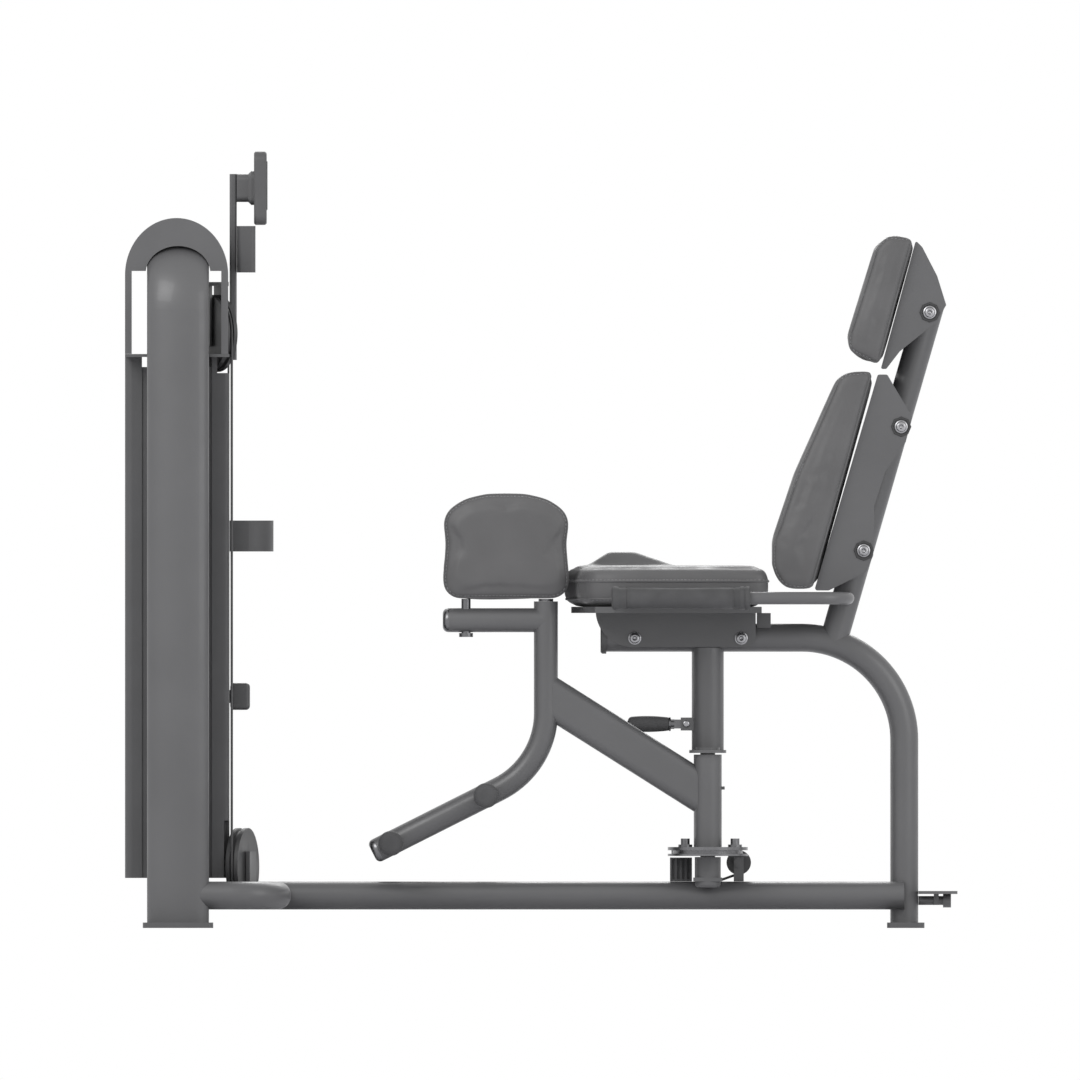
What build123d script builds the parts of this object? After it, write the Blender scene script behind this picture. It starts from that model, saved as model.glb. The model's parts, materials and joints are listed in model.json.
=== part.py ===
from build123d import *
import os
from math import cos, radians, sin

# Hip adductor and abductor machine, in millimetres.
# +X runs from the weight tower to the backrest, +Z is up, and the machine is symmetric about Y = 0.
# The origin is on the floor, at the middle of the machine's footprint.

# Driving dimensions: tubes
TUBE_R = 28.0               # main round tube
TUBE_WALL = 3.5
ARM_R = 24.0                # arm tube
OVAL_L = 124.0              # long side of the oval tubes
OVAL_W = 56.0               # short side of the oval tubes
FOOT_T = 11.0               # foot plate thickness

# Weight tower
TOWER_X = -726.5            # middle of the uprights
TOWER_Y = 245.0             # upright centre from the middle plane
ARCH_Z = 1352.0             # centre line of the arch's top bar
ARCH_BEND = 114.0
SHROUD_BACK_X = -832.5
SHROUD_FRONT_X = -623.5
SHROUD_W = 320.0
SHROUD_BOTTOM = 100.0
SHROUD_TOP = 1142.0
SHEET_T = 4.0
LINER_REACH = 15.0          # the covers' inner strips, past their edges
HOOD_TOP = 1420.0
HOOD_EAVE = 1314.0
HOOD_HALF = 216.0

# Weight stack
STACK_X = -694.0
PLATE_D = 84.0
PLATE_W = 300.0
PLATE_T = 24.2
PLATE_PITCH = 25.0
STACK_BOTTOM = 126.0
LOWER_PLATES = 13
MOVING_PLATES = 6
ROD_Y = 105.0
ROD_R = 10.0
SELECTOR_R = 12.0

# Cables and pulleys
CABLE_R = 2.5
CABLE_FRONT = (-619.0, 172.0)      # the run down the front of the tower
CABLE_BACK_Y = 42.0                # the run down to the weight stack
PULLEY_R = 77.0
PULLEY_PITCH = 75.0
PULLEY_T = 25.0
TOP_PULLEY_Z = 1189.0
LOW_RUN_Z = 48.0                   # cable inside the base rail
RAIL_RUN_Y = 12.0
MOUTH_X = -571.6
RETURN_X, RETURN_Z = 395.0, 131.0  # return pulley below the cams
RETURN_PITCH = 21.0
RETURN_R = 24.5
CAM_RUN_Z = RETURN_Z + RETURN_PITCH
CABLE_CLIMB = 19.7           # slope of the run up to the return pulley, degrees
ANCHOR_LIFT = 24.0           # cable's end above the pitch of the head plate
MOUTH_BEND = 18.0            # cable bends in the rail's mouth and under the return pulley
RAIL_BEND = 20.0
BEND_SLACK = 0.05            # keeps two equal bends from meeting

# Base
RAIL_Z = 65.0
RAIL_START = -560.0
POST_X = 726.0
YOKE_X = -528.0
YOKE_INSET = 8.0            # the yoke's ends are this far inside the uprights' centres

# Seat and backrest
BEAM_Z = 580.5
BEAM_BEND = 204.0
BEAM_START = 130.0
BACK_TILT = 16.1            # backrest from the vertical, degrees
BACK_FOOT = (596.5, 616.0)  # a point on the back tube's centre line
SEAT_POST_R = 32.0
HANDLE_R = 12.5
HANDLE_Y = 250.0
HANDLE_Z = 659.6
LEVER_X = 290.0             # pin of the release lever
LEVER_Z = 408.0
LEVER_PIN_R = 4.0

# Leg arms
PIVOT_X = 333.0
PIVOT_Y = 90.0
HUB_R = 28.0
HUB_BOTTOM = 146.0
HUB_TOP = 347.0
SHAFT_R = 15.0
CUP_R = 26.0
ARM_X = 9.3
ARM_BEND = 170.0
ARM_SLOPE = 26.7            # lower arm below the horizontal, degrees
ARM_END_X = -326.0
ARM_TOP = 653.2
ARM_CORNER_Z = 325.2         # where the upper and lower arm's centre lines would meet
ARM_WALL = 3.0
CROSSBAR_END = -184.0
PIN_X = -150.5               # front pin of the thigh pad
PIN_R = 9.3
PEG_X = (-301.0, -110.5)
PEG_R = 25.0
PEG_CORE_R = 12.0
CROSSBAR_Z = 615.6
PAD_BOTTOM = 658.4
PAD_TOP = 870.0
PAD_T = 80.0
CAM_R = 80.0
CAM_GROOVE_R = 69.9
CAM_BOTTOM = 144.0
CAM_T = 18.0

SIDES = {"left": -1, "right": 1}
FROM_BASE = (Align.CENTER, Align.CENTER, Align.MIN)


def rod(radius, start, end):
    """A round bar from one point to another."""
    axis = Vector(*end) - Vector(*start)
    return Plane(origin=start, z_dir=axis) * Cylinder(radius, axis.length, align=FROM_BASE)


def block(x0, x1, y0, y1, z0, z1):
    """A box between two corners."""
    return Pos((x0 + x1) / 2, (y0 + y1) / 2, (z0 + z1) / 2) * Box(abs(x1 - x0), abs(y1 - y0), z1 - z0)


def round_tube(path, radius, wall=TUBE_WALL):
    start = Plane(origin=path @ 0, z_dir=path % 0)
    return sweep(start * (Circle(radius) - Circle(radius - wall)), path=path)


def profile_xz(face_in_xy, y_from, y_to):
    """A face drawn as (X, Z), given a thickness along Y."""
    face = Plane(origin=(0, y_to, 0), x_dir=(1, 0, 0), z_dir=(0, -1, 0)) * face_in_xy
    return extrude(face, amount=y_to - y_from)


def group(*shapes):
    """Separate solids kept together in one node."""
    solids = []
    for shape in shapes:
        solids += list(shape.solids())
    return Compound(children=solids)


def both(make):
    """The same piece on the left side (-1) and the right side (+1)."""
    return group(make(-1), make(1))


# ---------------------------------------------------------------- frame

def tower_arch():
    """One oval tube bent into an arch, standing on its two feet."""
    corner_a = (TOWER_X, -TOWER_Y, ARCH_Z)
    corner_b = (TOWER_X, TOWER_Y, ARCH_Z)
    foot_a = (TOWER_X, -TOWER_Y, FOOT_T)
    foot_b = (TOWER_X, TOWER_Y, FOOT_T)
    path = FilletPolyline(foot_a, corner_a, corner_b, foot_b, radius=ARCH_BEND)
    start = Plane(origin=foot_a, x_dir=(1, 0, 0), z_dir=(0, 0, 1))
    wall = TUBE_WALL
    outer = Ellipse(OVAL_L / 2, OVAL_W / 2)
    inner = Ellipse(OVAL_L / 2 - wall, OVAL_W / 2 - wall)
    return sweep(start * (outer - inner), path=path)


def upright_space():
    """The solid outline of the arch, for cutting what is welded to it."""
    legs = [Pos(TOWER_X, s * TOWER_Y, 0) * extrude(Ellipse(OVAL_L / 2, OVAL_W / 2), ARCH_Z - ARCH_BEND)
            for s in (-1, 1)]
    return legs[0] + legs[1]


def base_rail():
    """Flat oval tube from the open mouth under the tower to the rear post."""
    section = SlotOverall(OVAL_L, OVAL_W) - SlotOverall(OVAL_L - 8, OVAL_W - 8)
    start = Plane(origin=(RAIL_START, 0, RAIL_Z), x_dir=(0, 1, 0), z_dir=(1, 0, 0))
    rail = extrude(start * section, amount=POST_X - RAIL_START)
    rail -= Pos(POST_X, 0, 0) * Cylinder(TUBE_R, 300)
    rail -= block(330, 420, -20, 20, RAIL_Z, RAIL_Z + OVAL_W)
    return rail


def rail_space():
    start = Plane(origin=(RAIL_START, 0, RAIL_Z), x_dir=(0, 1, 0), z_dir=(1, 0, 0))
    return extrude(start * SlotOverall(OVAL_L, OVAL_W), amount=POST_X - RAIL_START)


def base_yoke():
    """Two bent tubes that join the uprights to the sides of the rail."""
    def branch(s):
        y = s * (TOWER_Y - YOKE_INSET)
        path = FilletPolyline((TOWER_X + 30, y, RAIL_Z), (YOKE_X, y, RAIL_Z), (YOKE_X, s * 40, RAIL_Z),
                              radius=90)
        return round_tube(path, TUBE_R) - rail_space() - upright_space()
    return both(branch)


def yoke_space():
    """Room for the yoke where it leaves the uprights."""
    ends = [rod(TUBE_R + 0.2, (TOWER_X - 40, s * (TOWER_Y - YOKE_INSET), RAIL_Z),
                (YOKE_X, s * (TOWER_Y - YOKE_INSET), RAIL_Z)) for s in (-1, 1)]
    return ends[0] + ends[1]


def foot_plates():
    def tower_foot(s):
        plate = extrude(Pos(TOWER_X, s * 250) * RectangleRounded(141, 140, 12), FOOT_T)
        for dx in (-50, 50):
            plate -= Pos(TOWER_X + dx, s * 303, 0) * Cylinder(6.5, 60)
        return plate
    rear = extrude(Pos(729, 0) * RectangleRounded(75, 260, 12), FOOT_T)
    for y in (-105, 105):
        rear -= Pos(729, y, 0) * Cylinder(6.5, 60)
    return group(tower_foot(-1), tower_foot(1), rear)


def seat_spine():
    """Seat beam, bend and rear post in one tube."""
    path = FilletPolyline((BEAM_START, 0, BEAM_Z), (POST_X, 0, BEAM_Z), (POST_X, 0, FOOT_T),
                          radius=BEAM_BEND)
    return round_tube(path, TUBE_R)


def spine_space():
    path = FilletPolyline((BEAM_START, 0, BEAM_Z), (POST_X, 0, BEAM_Z), (POST_X, 0, FOOT_T),
                          radius=BEAM_BEND)
    start = Plane(origin=path @ 0, z_dir=path % 0)
    return sweep(start * Circle(TUBE_R), path=path)


def along_back(distance, off=0.0):
    """A point (X, Z) up the back tube's centre line, moved off it to the front."""
    tilt = radians(BACK_TILT)
    return (BACK_FOOT[0] + distance * sin(tilt) - off * cos(tilt),
            BACK_FOOT[1] + distance * cos(tilt) + off * sin(tilt))


def back_tube():
    x0, z0 = along_back(-60)
    x1, z1 = along_back(655)
    tube = rod(TUBE_R, (x0, 0, z0), (x1, 0, z1)) - rod(TUBE_R - TUBE_WALL, (x0, 0, z0), (x1, 0, z1))
    tube -= spine_space()
    return max(tube.solids(), key=lambda solid: solid.bounding_box().max.Z)


def seat_post():
    """Post under the seat beam, with the plate that holds the tops of both pivot shafts."""
    post = Pos(PIVOT_X, 0, 350) * Cylinder(SEAT_POST_R, 211, align=FROM_BASE)
    post -= Pos(PIVOT_X, 0, 357) * Cylinder(SEAT_POST_R - 4, 230, align=FROM_BASE)
    plate = Pos(0, 0, 350) * extrude(Pos(PIVOT_X, 0) * RectangleRounded(74, 2 * PIVOT_Y + 74, 30), 6)
    for s in (-1, 1):
        plate -= Pos(PIVOT_X, s * PIVOT_Y, 353) * Cylinder(SHAFT_R, 20)
    clevis = block(279, 312, -15, 15, 395, 421) - block(270, 299.5, -8.5, 8.5, 380, 440)
    clevis -= rod(LEVER_PIN_R, (LEVER_X, -20, LEVER_Z), (LEVER_X, 20, LEVER_Z))
    clevis -= Pos(PIVOT_X, 0, 400) * Cylinder(SEAT_POST_R, 200)
    return post - spine_space() + plate + clevis


def pivot_posts():
    """Two fixed shafts in cups, and the plate across the rail that carries the cups."""
    plate = block(304, 362, -116, 116, 93.2, 101) - block(342, 370, -19, 19, 90, 110)
    pieces = []
    for s in (-1, 1):
        y = s * PIVOT_Y
        cup = Pos(PIVOT_X, y, 81) * Cylinder(CUP_R, 61, align=FROM_BASE)
        cup = fillet(cup.edges().group_by(Axis.Z)[0], 8)
        shaft = Pos(PIVOT_X, y, 141) * Cylinder(SHAFT_R, 215, align=FROM_BASE)
        shaft += Pos(PIVOT_X, y, 356) * Cylinder(HUB_R - 4, 5, align=FROM_BASE)
        pieces.append(cup + shaft)
    return plate + pieces[0] + pieces[1]


def rear_tie():
    """Plate behind the rear post with a threaded stud and its knob, for tying to a neighbour."""
    plate = block(754.3, 832.5, -45, 45, 68, 74)
    plate = fillet(plate.edges().filter_by(Axis.Z).group_by(Axis.X)[-1], 14)
    stud = rod(9, (754.3, 0, 55), (803.5, 0, 55))
    knob = rod(14, (803.5, 0, 55), (819.5, 0, 55))
    lug = block(785, 795, -12, 12, 46, 68)
    return plate + lug + stud + knob


# ---------------------------------------------------------------- weight tower

def pulley_space(s):
    """Room round a top pulley."""
    return top_pulley_plane(s) * Cylinder(PULLEY_R + 6, PULLEY_T + 10)


def stack_cross_plates():
    """Plates between the uprights: one under the weight stack and one over the shrouds."""
    low = block(-758, -664.5, -222, 222, 88, SHROUD_BOTTOM)
    inner = SHROUD_W / 2 - 2 * SHEET_T
    low += block(-826, -750, -inner, inner, SHROUD_BOTTOM, SHROUD_BOTTOM + 6)
    low += block(-671, -651, -inner, inner, SHROUD_BOTTOM, SHROUD_BOTTOM + 6)
    high = block(SHROUD_BACK_X, SHROUD_FRONT_X, -HOOD_HALF, HOOD_HALF, SHROUD_TOP, SHROUD_TOP + 6)
    low -= yoke_space()
    pieces = []
    for plate, z0 in ((low, 88), (high, SHROUD_TOP)):
        plate -= upright_space()
        for s in (-1, 1):
            plate -= Pos(STACK_X, s * ROD_Y, z0 - 5) * Cylinder(ROD_R, 20, align=FROM_BASE)
            plate -= Pos(STACK_X, s * CABLE_BACK_Y, z0 - 5) * Cylinder(9, 20, align=FROM_BASE)
            plate -= pulley_space(s)
        pieces.append(plate)
    return group(*pieces)


def guide_rods():
    return both(lambda s: rod(ROD_R, (STACK_X, s * ROD_Y, 88), (STACK_X, s * ROD_Y, SHROUD_TOP + 6)))


def rubber_bumpers():
    """Two cushions under the stack, and the ribbed stop block on the rail."""
    def bumper(s):
        ring = Pos(STACK_X, s * ROD_Y, SHROUD_BOTTOM) * Cylinder(22, 25.5, align=FROM_BASE)
        return ring - Pos(STACK_X, s * ROD_Y, 90) * Cylinder(ROD_R + 0.5, 60, align=FROM_BASE)
    stop = block(257.5, 301.5, -40, 40, 93.2, 141)
    for i in range(4):
        x = 262 + i * 10
        for s in (-1, 1):
            stop -= block(x, x + 5, s * 36, s * 42, 98, 138)
    return group(bumper(-1), bumper(1), stop)


def weight_plate(z):
    plate = Pos(STACK_X, 0, z) * extrude(RectangleRounded(PLATE_D, PLATE_W, 6), PLATE_T)
    plate = chamfer(plate.faces().sort_by(Axis.Z)[-1].edges() + plate.faces().sort_by(Axis.Z)[0].edges(), 1.5)
    plate -= Pos(STACK_X, 0, z - 1) * Cylinder(SELECTOR_R + 2, PLATE_T + 2, align=FROM_BASE)
    for s in (-1, 1):
        plate -= Pos(STACK_X, s * ROD_Y, z - 1) * Cylinder(ROD_R + 2, PLATE_T + 2, align=FROM_BASE)
    plate -= rod(6.5, (STACK_X, 0, z + PLATE_T / 2), (STACK_X + 60, 0, z + PLATE_T / 2))
    return plate


def cable_holes(z):
    return both(lambda s: Pos(STACK_X, s * CABLE_BACK_Y, z - 1) * Cylinder(6, PLATE_T + 2, align=FROM_BASE))


def lower_plates():
    return group(*[weight_plate(STACK_BOTTOM + i * PLATE_PITCH) for i in range(LOWER_PLATES)])


def moving_plates():
    first = STACK_BOTTOM + LOWER_PLATES * PLATE_PITCH
    heights = [first + i * PLATE_PITCH for i in range(MOVING_PLATES)]
    return group(*[weight_plate(z) - cable_holes(z) for z in heights])


def head_plate():
    """Top plate with the selector rod that hangs through the stack, and the two cable anchors."""
    z = STACK_BOTTOM + (LOWER_PLATES + MOVING_PLATES) * PLATE_PITCH
    plate = Pos(STACK_X, 0, z) * extrude(RectangleRounded(PLATE_D, PLATE_W, 6), PLATE_T)
    plate = chamfer(plate.faces().sort_by(Axis.Z)[-1].edges(), 2)
    for s in (-1, 1):
        plate -= Pos(STACK_X, s * ROD_Y, z - 1) * Cylinder(ROD_R + 2, PLATE_T + 2, align=FROM_BASE)
    selector = rod(SELECTOR_R, (STACK_X, 0, STACK_BOTTOM + 6), (STACK_X, 0, z + PLATE_T + 14))
    for i in range(LOWER_PLATES + MOVING_PLATES):
        hole_z = STACK_BOTTOM + i * PLATE_PITCH + PLATE_T / 2
        selector -= rod(5.3, (STACK_X - 20, 0, hole_z), (STACK_X + 20, 0, hole_z))
    yoke = block(STACK_X - 14, STACK_X + 14, -60, 60, z + PLATE_T, z + PLATE_T + 12)
    sleeves = both(lambda s: rod(9, (STACK_X, s * CABLE_BACK_Y, z + PLATE_T),
                                 (STACK_X, s * CABLE_BACK_Y, z + PLATE_T + 62)))
    whole = plate + selector + yoke + sleeves
    for s in (-1, 1):
        whole -= rod(6, (STACK_X, s * CABLE_BACK_Y, z - 1), (STACK_X, s * CABLE_BACK_Y, z + 150))
    return whole


def selector_height():
    """Height of the hole that the selector pin is in: the lowest of the moving plates."""
    return STACK_BOTTOM + LOWER_PLATES * PLATE_PITCH + PLATE_T / 2


def selector_pin():
    """Steel pin with a large moulded knob in front of the shroud."""
    z = selector_height()
    pin = rod(4.8, (STACK_X - 8, 0, z), (-612, 0, z))
    collar = rod(13, (-650, 0, z), (-612, 0, z))
    knob = block(SHROUD_FRONT_X + 1.4, -582.5, -33, 33, z - 27, z + 27)
    knob = fillet(knob.edges(), 8)
    return pin + collar + knob


def channel(front, depth):
    """A folded cover's plan, open towards the middle of the tower; depth is negative at the back."""
    size = 2 * abs(depth)
    ring = RectangleRounded(size, SHROUD_W, 14) - RectangleRounded(size - 2 * SHEET_T,
                                                                   SHROUD_W - 2 * SHEET_T, 10)
    half = Pos(depth / 2, 0) * Rectangle(abs(depth), SHROUD_W + 10)
    edge = front - depth
    plan = Pos(edge, 0) * (ring & half)
    shell = Pos(0, 0, SHROUD_BOTTOM) * extrude(plan, SHROUD_TOP - SHROUD_BOTTOM)
    inner = SHROUD_W / 2 - SHEET_T
    towards = 1 if depth > 0 else -1
    for s in (-1, 1):
        shell += block(edge - towards * LINER_REACH, edge + towards * LINER_REACH, s * (inner - SHEET_T),
                       s * inner, SHROUD_BOTTOM, SHROUD_TOP - 20)
    return shell


def front_shroud():
    """Folded cover in front of the stack, with the slot that the selector pin works in."""
    shell = channel(SHROUD_FRONT_X, 35.5)
    slot = block(-640, -600, -22, 22, SHROUD_BOTTOM, 740)
    shell -= fillet(slot.edges().filter_by(Axis.X).group_by(Axis.Z)[-1], 15)
    for s in (-1, 1):
        shell -= block(-634.5, -600, s * 118, s * 170, 90, 215)
        shell -= block(-648, -600, s * 118, s * 170, 1110, 1160)
        shell += block(-650, SHROUD_FRONT_X - SHEET_T, s * 112, s * 116, SHROUD_BOTTOM, 219)
    return shell


def rear_shroud():
    """Folded cover behind the stack."""
    return channel(SHROUD_BACK_X, -34.0)


def hood_outline(half, top):
    """The hood's end view, as (X, Z): a half ellipse on two straight legs."""
    middle = (SHROUD_BACK_X + SHROUD_FRONT_X) / 2 - 1.3
    base = 1306.0
    arc = Pos(middle, base) * Ellipse(half, top - base)
    return arc + Pos(middle, base - 200) * Rectangle(2 * half, 400)


def hood():
    """Arched cap over the top of the tower, on four flat legs."""
    half = (SHROUD_FRONT_X - SHROUD_BACK_X) / 2 - 1.3
    outer = hood_outline(half, HOOD_TOP)
    inner = hood_outline(half - 13, HOOD_TOP - 14)
    legs_only = profile_xz(outer - inner, -HOOD_HALF, HOOD_HALF)
    ends = profile_xz(outer, -HOOD_HALF, HOOD_HALF) - profile_xz(outer, 6 - HOOD_HALF, HOOD_HALF - 6)
    shell = legs_only + ends
    shell -= block(-900, -500, -400, 400, 800, SHROUD_TOP + 6.2)
    shell -= block(-900, -500, -184, 184, 800, HOOD_EAVE)
    shell -= block(-819, -640, -400, 400, 800, HOOD_EAVE)
    notch = Pos(TOWER_X, 1120) * Rectangle(OVAL_L + 5, 380)
    notch += Pos(TOWER_X, 1310) * Ellipse(OVAL_L / 2 + 2.5, 54)
    shell -= profile_xz(notch, -400, 400)
    return shell


def top_pulley_plane(s):
    """Plane of a top pulley: its normal is level, at right angles to the cable's two runs."""
    run = Vector(CABLE_FRONT[0] - STACK_X, s * (CABLE_FRONT[1] - CABLE_BACK_Y), 0).normalized()
    middle = ((CABLE_FRONT[0] + STACK_X) / 2, s * (CABLE_FRONT[1] + CABLE_BACK_Y) / 2, TOP_PULLEY_Z)
    return Plane(origin=middle, x_dir=run, z_dir=run.cross(Vector(0, 0, 1)))


def low_pulley_plane(s):
    run = Vector(MOUTH_X - CABLE_FRONT[0], s * (RAIL_RUN_Y - CABLE_FRONT[1]), 0).normalized()
    corner = Vector(CABLE_FRONT[0], s * CABLE_FRONT[1], LOW_RUN_Z + PULLEY_PITCH)
    return Plane(origin=corner + run * PULLEY_PITCH, x_dir=run, z_dir=run.cross(Vector(0, 0, 1)))


def return_pulley_plane(s):
    return Plane(origin=(RETURN_X, s * RAIL_RUN_Y, RETURN_Z), x_dir=(1, 0, 0), z_dir=(0, -1, 0))


def pulley(plane, outer, pitch, thick, bore):
    """A grooved wheel: the cable lies in the groove with a little room."""
    floor = pitch - CABLE_R - 1
    half = thick / 2
    mouth = min(half - 1, CABLE_R + 2.2)
    section = Polyline((bore, -half), (outer, -half), (outer, -mouth), (floor, -CABLE_R - 0.5),
                       (floor, CABLE_R + 0.5), (outer, mouth), (outer, half), (bore, half), close=True)
    wheel = revolve(Plane.XZ * make_face(section), Axis.Z)
    return plane * wheel


def top_pulley(s):
    return pulley(top_pulley_plane(s), PULLEY_R, PULLEY_PITCH, PULLEY_T, 8.06)


def bottom_pulley(s):
    return pulley(low_pulley_plane(s), PULLEY_R, PULLEY_PITCH, PULLEY_T, 8.06)


def return_pulley(s):
    return pulley(return_pulley_plane(s), RETURN_R, RETURN_PITCH, 11, 5.06)


def pulley_brackets():
    """Fixed cheeks and axles of the six pulleys."""
    pieces = []
    arch_bar = Plane(origin=(TOWER_X, 250, ARCH_Z), x_dir=(1, 0, 0), z_dir=(0, -1, 0)) * extrude(
        Ellipse(OVAL_L / 2, OVAL_W / 2), 500)
    for s in (-1, 1):
        top = top_pulley_plane(s)
        bridge = block(-745, -625, s * 70, s * 145, 1284, 1292)
        riser = block(-745, -708, s * 80, s * 128, 1292, 1340) - arch_bar
        bracket = bridge + riser + top * Cylinder(8, 46)
        for side in (-1, 1):
            bracket += top * Pos(0, 35, side * 17) * Box(44, 120, 5)
        low = low_pulley_plane(s)
        low_bracket = low * Pos(0, -12, -s * 18) * Box(44, 84, 8)
        low_bracket += low * Pos(0, 0, -s * 2) * Cylinder(8, 40)
        low_bracket += low * Pos(0, 0, s * 16) * Cylinder(16, 5)
        low_bracket += block(-590, -530, s * 88, s * 114, 56, 74)
        low_bracket -= rod(TUBE_R, (YOKE_X, s * 20, RAIL_Z), (YOKE_X, s * 150, RAIL_Z))
        low_bracket -= low * Cylinder(PULLEY_R + 2, PULLEY_T + 1.5) - low * Cylinder(8, 60)
        low_bracket = max(low_bracket.solids(), key=lambda solid: solid.volume)
        pieces += [bracket, low_bracket]
    axle = rod(5, (RETURN_X, -26, RETURN_Z), (RETURN_X, 26, RETURN_Z))
    for s in (-1, 1):
        axle += block(RETURN_X - 10, RETURN_X + 10, s * 19.5, s * 24.5, 93.2, 142)
        axle += rod(10, (RETURN_X, s * 24.5, RETURN_Z), (RETURN_X, s * 29, RETURN_Z))
    return group(*pieces, axle)


def cables():
    """Each cable: stack anchor, top pulley, tower front, low pulley, rail, return pulley, cam."""
    def run(s):
        climb = radians(CABLE_CLIMB)
        touch_x = RETURN_X + RETURN_PITCH * sin(climb)
        touch_z = RETURN_Z - RETURN_PITCH * cos(climb)
        turn_x = touch_x - (touch_z - LOW_RUN_Z) / (sin(climb) / cos(climb))
        anchor_z = STACK_BOTTOM + (LOWER_PLATES + MOVING_PLATES + 1) * PLATE_PITCH + ANCHOR_LIFT
        half = (180 - CABLE_CLIMB) / 4
        reach = RETURN_PITCH / cos(radians(half))
        corners = []
        for angle in (-90 + CABLE_CLIMB + half, 90 - half):
            corners.append((RETURN_X + reach * cos(radians(angle)), s * RAIL_RUN_Y,
                            RETURN_Z + reach * sin(radians(angle))))
        loop_z = TOP_PULLEY_Z + PULLEY_PITCH
        front_x, front_y = CABLE_FRONT
        points = [(STACK_X, s * CABLE_BACK_Y, anchor_z), (STACK_X, s * CABLE_BACK_Y, loop_z),
                  (front_x, s * front_y, loop_z), (front_x, s * front_y, LOW_RUN_Z),
                  (MOUTH_X, s * RAIL_RUN_Y, LOW_RUN_Z), (turn_x, s * RAIL_RUN_Y, LOW_RUN_Z),
                  *corners, (PIVOT_X, s * RAIL_RUN_Y, CAM_RUN_Z)]
        half_turn = PULLEY_PITCH - BEND_SLACK
        small_turn = RETURN_PITCH - BEND_SLACK
        bends = [half_turn, half_turn, PULLEY_PITCH, MOUTH_BEND, RAIL_BEND, small_turn, small_turn]
        path = FilletPolyline(*points, radius=bends)
        start = Plane(origin=path @ 0, z_dir=path % 0)
        cable = sweep(start * Circle(CABLE_R), path=path)
        print("cable length", round(path.length), "volume ratio",
              round(cable.volume / (path.length * 3.14159 * CABLE_R ** 2), 4))
        return cable
    return both(run)


# ---------------------------------------------------------------- console

def console_post():
    post = block(-623.3, -609, -25, 25, 1136, 1508)
    post = fillet(post.edges().filter_by(Axis.Z), 4)
    neck = block(-609, -574.5, -42, 42, 1452, 1508)
    neck = fillet(neck.edges().filter_by(Axis.X), 12)
    flare = block(-586, -574.5, -52, 52, 1446, 1514)
    flare = fillet(flare.edges().filter_by(Axis.X), 14)
    flare = chamfer(flare.faces().sort_by(Axis.X)[0].edges(), 6)
    return post + neck + flare


def console_housing():
    shell = block(-574.5, -549, -105, 105, 1406, 1553)
    shell = fillet(shell.edges().filter_by(Axis.X), 18)
    shell = fillet(shell.faces().sort_by(Axis.X)[-1].edges() + shell.faces().sort_by(Axis.X)[0].edges(), 5)
    return shell


def console_screen():
    screen = block(-549, -547.5, -82, 82, 1436, 1534)
    return fillet(screen.edges().filter_by(Axis.X), 8)


def accessory_tray():
    outer = block(-608.8, -571.5, -95, 95, 1311, 1404)
    outer = fillet(outer.edges().filter_by(Axis.Z), 10)
    return outer - block(-605, -575.3, -91, 91, 1315, 1420)


def bottle_outline(inset):
    """Straight at the shroud and round in front, as (X, Y)."""
    back, front, half = -623.3 + inset, -535.5 - inset, 62 - inset
    start = (-585, half)
    end = (-585, -half)
    bow = ThreePointArc(start, (front, 0), end)
    return make_face(Polyline(end, (back, -half), (back, half), start) + bow)


def bottle_holder():
    """A deep band, round in front, fixed to the shroud, with a cross strap under the bottle."""
    band = Pos(0, 0, 753) * extrude(bottle_outline(0) - bottle_outline(4), 62)
    floor = Pos(0, 0, 753) * extrude(bottle_outline(2), 4)
    return band + (floor & block(-700, -500, -15, 15, 740, 770))


# ---------------------------------------------------------------- seat

def seat_plan(inset=0.0):
    half = [(45, 45), (68, 64), (75, 150), (97, 203), (145, 214), (456, 196)]
    points = half + [(x, -y) for x, y in reversed(half)]
    face = make_face(Polyline(*points, close=True))
    face = fillet(face.vertices(), 14)
    return offset(face, -inset) if inset else face


def seat_cushion():
    pad = Pos(0, 0, 643) * extrude(seat_plan(), 78)
    pad = fillet(pad.faces().sort_by(Axis.Z)[-1].edges(), 22)
    hump = Pos(196, 0, 716) * Box(130, 84, 66)
    hump = fillet(hump.edges().filter_by(Axis.Y) + hump.edges().filter_by(Axis.Z), 24)
    return pad + hump


def seat_plate():
    plate = Pos(0, 0, 630) * extrude(seat_plan(15), 12.5)
    return plate + block(431, 459, -20, 20, BEAM_Z, 630) - spine_space()


def seat_brackets():
    front = ThreePointArc((109, 630), (131, 583), (180, 562))
    rest = Polyline((180, 562), (415, 562), (429, 576), (429, 630), (109, 630))
    face = make_face(front + rest)
    cap_space = rod(32.4, (100, 0, BEAM_Z), (BEAM_START + 0.4, 0, BEAM_Z))
    return both(lambda s: profile_xz(face, min(s * 28.2, s * 35), max(s * 28.2, s * 35)) - cap_space)


def handle_path():
    return FilletPolyline((150, -HANDLE_Y, HANDLE_Z), (613.5, -HANDLE_Y, HANDLE_Z),
                          (613.5, HANDLE_Y, HANDLE_Z), (150, HANDLE_Y, HANDLE_Z), radius=67)


def handle_tubes():
    """One tube that runs from grip to grip round the back of the seat."""
    x0, z0 = along_back(-60)
    x1, z1 = along_back(655)
    return group(round_tube(handle_path(), HANDLE_R, 2.5) - rod(TUBE_R, (x0, 0, z0), (x1, 0, z1)))


def handle_grips():
    def grip(s):
        y = s * HANDLE_Y
        body = rod(21, (152, y, HANDLE_Z), (418, y, HANDLE_Z))
        front = fillet(rod(23.5, (140.5, y, HANDLE_Z), (154, y, HANDLE_Z)).edges(), 5)
        collar = rod(23.5, (396, y, HANDLE_Z), (417.5, y, HANDLE_Z))
        return body + front + collar - rod(HANDLE_R, (150, y, HANDLE_Z), (500, y, HANDLE_Z))
    return both(grip)


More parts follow.
